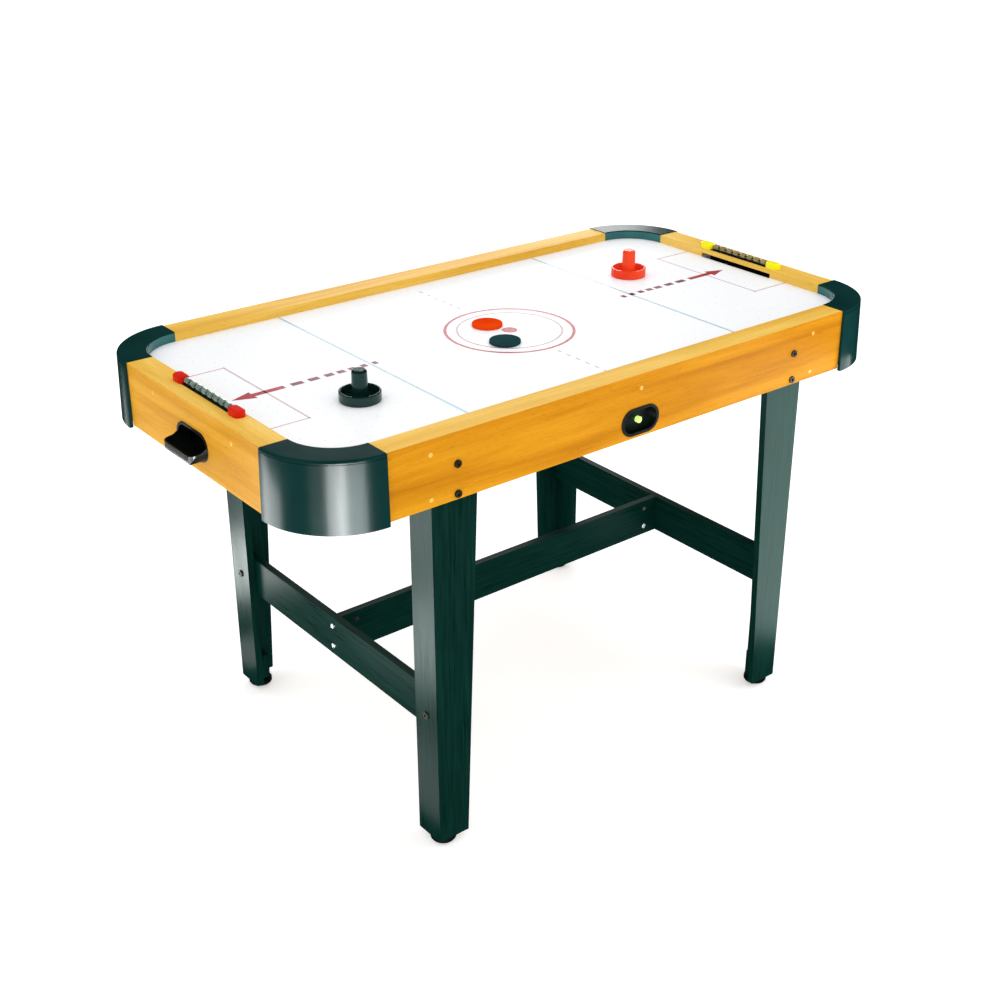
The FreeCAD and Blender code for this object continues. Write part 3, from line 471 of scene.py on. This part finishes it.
def air_hole_painted_shade():
    """Grey spots for the grid of pin holes that lets the air through: painted shade standing in for
    the dark insides of the holes.
    """
    mesh = bmesh.new()
    columns = int((INNER_X - HOLE_PITCH / 2) / HOLE_PITCH)
    rows = int((INNER_Y - HOLE_PITCH / 2) / HOLE_PITCH)
    for column in range(-columns, columns + 1):
        for row in range(-rows, rows + 1):
            x, y = column * HOLE_PITCH, row * HOLE_PITCH
            past_corner = Vector((max(abs(x) - CORNER_X, 0), max(abs(y) - CORNER_Y, 0)))
            if past_corner.length < CORNER_RADIUS - HOLE_PITCH / 2:
                raised(mesh, disc((x, y), HOLE_RADIUS, HOLE_STEPS), height=HOLE_HEIGHT)
    # Grey spots as painted shade: the darkness inside the pin holes, laid on top of the laminate.
    shade = moulded("hole_shade", srgb(150, 152, 158), srgb(178, 180, 186), roughness=0.6,
                    texture=0.01)
    piece("air_hole_painted_shade", mesh, shade)


# ---------------------------------------------------------------- small trim
PLUG_RADIUS, PLUG_RISE, PLUG_STEPS = 4.2 * MM, 0.7 * MM, 24
# The plug's outline: shares of its radius and of its rise, from the face to its crown.
PLUG_PROFILE = ((1, 0), (0.96, 0.5), (0.8, 0.85), (0.4, 1))
PLUG_HIGH, PLUG_LOW = RAIL_TOP - 27 * MM, RAIL_TOP - 107 * MM
PLUG_X, PLUG_Y = 460 * MM, 138 * MM
# The sheet of painted reflection on the caps' inner faces: its thickness, steps and levels.
REFLECTION_SHEET_THICK, REFLECTION_SHEET_STEPS = 0.3 * MM, 32
REFLECTION_SHEET_LOW, REFLECTION_SHEET_HIGH = PLAY_Z + 0.2 * MM, RAIL_TOP - 0.6 * MM


def plug_button(mesh, at, normal):
    """A slightly domed cover plug on a face."""
    turn = Vector((0, 0, 1)).rotation_difference(normal).to_matrix().to_4x4()
    seat = Matrix.Translation(at) @ turn
    loops = [[mesh.verts.new(seat @ Vector((x, y, PLUG_RISE * height)))
              for x, y in disc((0, 0), PLUG_RADIUS * width, PLUG_STEPS)]
             for width, height in PLUG_PROFILE]
    for first, second in zip(loops, loops[1:]):
        bridge(mesh, first, second)
    mesh.faces.new(loops[-1])


def apron_plugs():
    """The cover plugs on the long aprons and at the tops of the end aprons."""
    mesh = bmesh.new()
    for face in SIDES:
        outwards = Vector((0, face, 0))
        for side in SIDES:
            for level in (PLUG_HIGH, PLUG_LOW):
                plug_button(mesh, Vector((side * PLUG_X, face * HALF_WIDTH, level)), outwards)
        plug_button(mesh, Vector((0, face * HALF_WIDTH, PLUG_HIGH)), outwards)
    for side in SIDES:
        for face in SIDES:
            plug_button(mesh, Vector((side * HALF_LENGTH, face * PLUG_Y, PLUG_HIGH)),
                        Vector((side, 0, 0)))
    tone = moulded("plug_plastic", srgb(226, 172, 66), srgb(238, 190, 92), roughness=0.4,
                   texture=0.02, scale=700, Specular_IOR_Level=0.1)
    piece("apron_plugs", mesh, tone)


def cap_inner_painted_reflection():
    """A thin polished sheet over the inner face of each corner cap, where pucks rebound, in a
    lighter teal than the cap: painted reflection of the white playfield.
    """
    mesh = bmesh.new()
    for along in SIDES:
        for across in SIDES:
            loops = []
            for step in range(REFLECTION_SHEET_STEPS + 1):
                turn = math.pi / 2 * step / REFLECTION_SHEET_STEPS
                outer, inner = [(along * CORNER_X + along * radius * math.cos(turn),
                                 across * CORNER_Y + across * radius * math.sin(turn))
                                for radius in (CORNER_RADIUS, CORNER_RADIUS - REFLECTION_SHEET_THICK)]
                loops.append([mesh.verts.new((*point, level)) for point, level in (
                    (outer, REFLECTION_SHEET_LOW), (inner, REFLECTION_SHEET_LOW), (inner, REFLECTION_SHEET_HIGH),
                    (outer, REFLECTION_SHEET_HIGH))])
            for first, second in zip(loops, loops[1:]):
                bridge(mesh, first, second)
            mesh.faces.new(loops[0])
            mesh.faces.new(list(reversed(loops[-1])))
    # Lighter teal than the cap's own plastic: painted reflection of the white playfield on the inner
    # walls. The high gloss is real.
    gloss = moulded("cap_inner_reflection_teal", srgb(22, 78, 80), srgb(36, 96, 98), roughness=0.12,
                    texture=0.01, scale=500, Specular_IOR_Level=0.8, Specular_Tint=TEAL_TINT)
    piece("cap_inner_painted_reflection", mesh, gloss)


# ---------------------------------------------------------------- studio
FLOOR_REACH = 40
FLOOR_GLOW = 0.36
SKY_STRENGTH = 1.05
PANEL_LIFT = 0.002
NEAR_CORNER = (-HALF_LENGTH + 0.045, -HALF_WIDTH + 0.025)
# Upright panels that are seen only in reflections: name, the point that each one faces, its
# angle in degrees and distance from there, its width, its lowest and highest level, brightness.
UPRIGHT_PANELS = (
    ("card_left", (-0.45, 0.8), 180, 0.5, 1.6, (0.0, 0.34), 9),
    ("card_edge", (-0.45, -0.03), 180, 0.5, 0.29, (0.4, 0.65), 44),
    ("card_bounce", NEAR_CORNER, 208, 0.9, 0.3, (0.1, 0.5), 14),
    ("card_soft", NEAR_CORNER, 229, 0.9, 0.22, (0.1, 0.5), 190),
    ("card_key", NEAR_CORNER, 242, 0.9, 0.2, (0.1, 0.5), 325),
    ("card_fill", NEAR_CORNER, 262, 0.9, 0.42, (0.1, 0.5), 118),
    ("card_right", (0.42, -0.36), 316, 0.2, 0.3, (0.0, 0.7), 11),
    ("card_back", (0, 0), 55, 4.0, 1.8, (0.8, 2.15), 8),
)
# Panels on the floor, facing up and seen only in reflections: name, x, y, size, brightness.
FLOOR_PANELS = (
    ("card_floor_1", -0.56, -0.17, (0.14, 0.3), 3),
    ("card_floor_2", -0.85, 0.22, (0.2, 0.36), 22),
    ("card_floor_3", -0.52, 0.45, (0.08, 0.12), 3),
    ("card_floor_4", -0.72, 0.82, (0.2, 0.3), 26),
)
# The one light that shines on the table but isn't seen in reflections.
SIDE_LIGHT_PLACE, SIDE_LIGHT_TARGET = (1.0, -1.35, 0.8), (0.5, -0.4, 0.7)
SIDE_LIGHT_SIZE, SIDE_LIGHT_BRIGHTNESS = (0.8, 0.6), 2.5


def floor():
    """A white floor that glows faintly and isn't mirrored in the table."""
    mesh = bmesh.new()
    outline = bar(-FLOOR_REACH, FLOOR_REACH, -FLOOR_REACH, FLOOR_REACH)
    mesh.faces.new([mesh.verts.new((x, y, 0)) for x, y in outline])
    data = bpy.data.meshes.new("studio_floor")
    mesh.to_mesh(data)
    mesh.free()
    thing = place("studio_floor", data)
    shader = Shader("studio_floor", Roughness=0.9, Specular_IOR_Level=0.0,
                    Emission_Color=(1, 1, 1, 1), Emission_Strength=FLOOR_GLOW)
    cloud = shader.noise(2, detail=2)
    shader.feed(shader.tones(cloud, srgb(252, 252, 252), srgb(254, 254, 254)), "Base Color")
    wear(thing, shader.material)
    thing.visible_glossy = False


def soft_box(name, at, target, size, brightness, diffuse=False, gloss=True):
    """A rectangular studio light of that brightness, hidden from the camera's direct view. It
    shines on the table only with diffuse, and is seen in reflections only with gloss."""
    data = bpy.data.lights.new(name, "AREA")
    data.shape = "RECTANGLE"
    data.size, data.size_y = size
    data.energy = brightness * math.pi * size[0] * size[1]
    thing = place(name, data)
    thing.location = at
    thing.rotation_euler = (Vector(target) - Vector(at)).to_track_quat("-Z", "Y").to_euler()
    thing.visible_camera = False
    thing.visible_diffuse = diffuse
    thing.visible_glossy = gloss


def studio():
    """An even white sky that isn't mirrored in the table, and the panels and the side light."""
    world = bpy.data.worlds.new("studio")
    bpy.context.scene.world = world
    world.use_nodes = True
    sky = world.node_tree.nodes["Background"]
    sky.inputs["Color"].default_value = (1, 1, 1, 1)
    sky.inputs["Strength"].default_value = SKY_STRENGTH
    world.cycles_visibility.glossy = False
    for name, (x, y), angle, away, width, (low, high), brightness in UPRIGHT_PANELS:
        turn = math.radians(angle)
        at = (x + away * math.cos(turn), y + away * math.sin(turn), (low + high) / 2)
        soft_box(name, at, (x, y, at[2]), (width, high - low), brightness)
    for name, x, y, size, brightness in FLOOR_PANELS:
        soft_box(name, (x, y, PANEL_LIFT), (x, y, 1), size, brightness)
    soft_box("side_light", SIDE_LIGHT_PLACE, SIDE_LIGHT_TARGET, SIDE_LIGHT_SIZE,
             SIDE_LIGHT_BRIGHTNESS, diffuse=True, gloss=False)


# ---------------------------------------------------------------- camera
CAMERA_TURN = math.radians(39.737)
CAMERA_TILT = math.radians(24.537)
CAMERA_ROLL = math.radians(0.503)
CAMERA_PLACE = (-1.6976, -2.1178, 0.9478)
CAMERA_SENSOR = 36
CAMERA_LENS = 53.093
CAMERA_SHIFT = (-0.0328, -0.045)


def camera():
    """The camera to the front left, looking down at the table. Its place is counted from the
    middle of the table at the rail top's level."""
    data = bpy.data.cameras.new("camera")
    thing = place("camera", data)
    data.sensor_width = CAMERA_SENSOR
    data.lens = CAMERA_LENS
    data.shift_x, data.shift_y = CAMERA_SHIFT
    forward = Vector((math.sin(CAMERA_TURN) * math.cos(CAMERA_TILT),
                      math.cos(CAMERA_TURN) * math.cos(CAMERA_TILT), -math.sin(CAMERA_TILT)))
    right = forward.cross(Vector((0, 0, 1))).normalized()
    up = right.cross(forward)
    roll = Matrix.Rotation(-CAMERA_ROLL, 3, forward)
    right, up = roll @ right, roll @ up
    turn = Matrix((right, up, -forward)).transposed().to_4x4()
    at = Vector(CAMERA_PLACE) + Vector((0, 0, RAIL_TOP))
    thing.matrix_world = Matrix.Translation(at) @ turn
    bpy.context.scene.camera = thing


dress_nodes()
red_prints()
maroon_prints()
pink_prints()
blue_prints()
grey_prints()
air_hole_painted_shade()
apron_plugs()
cap_inner_painted_reflection()
floor()
studio()
camera()
bpy.context.scene.view_settings.view_transform = "Standard"
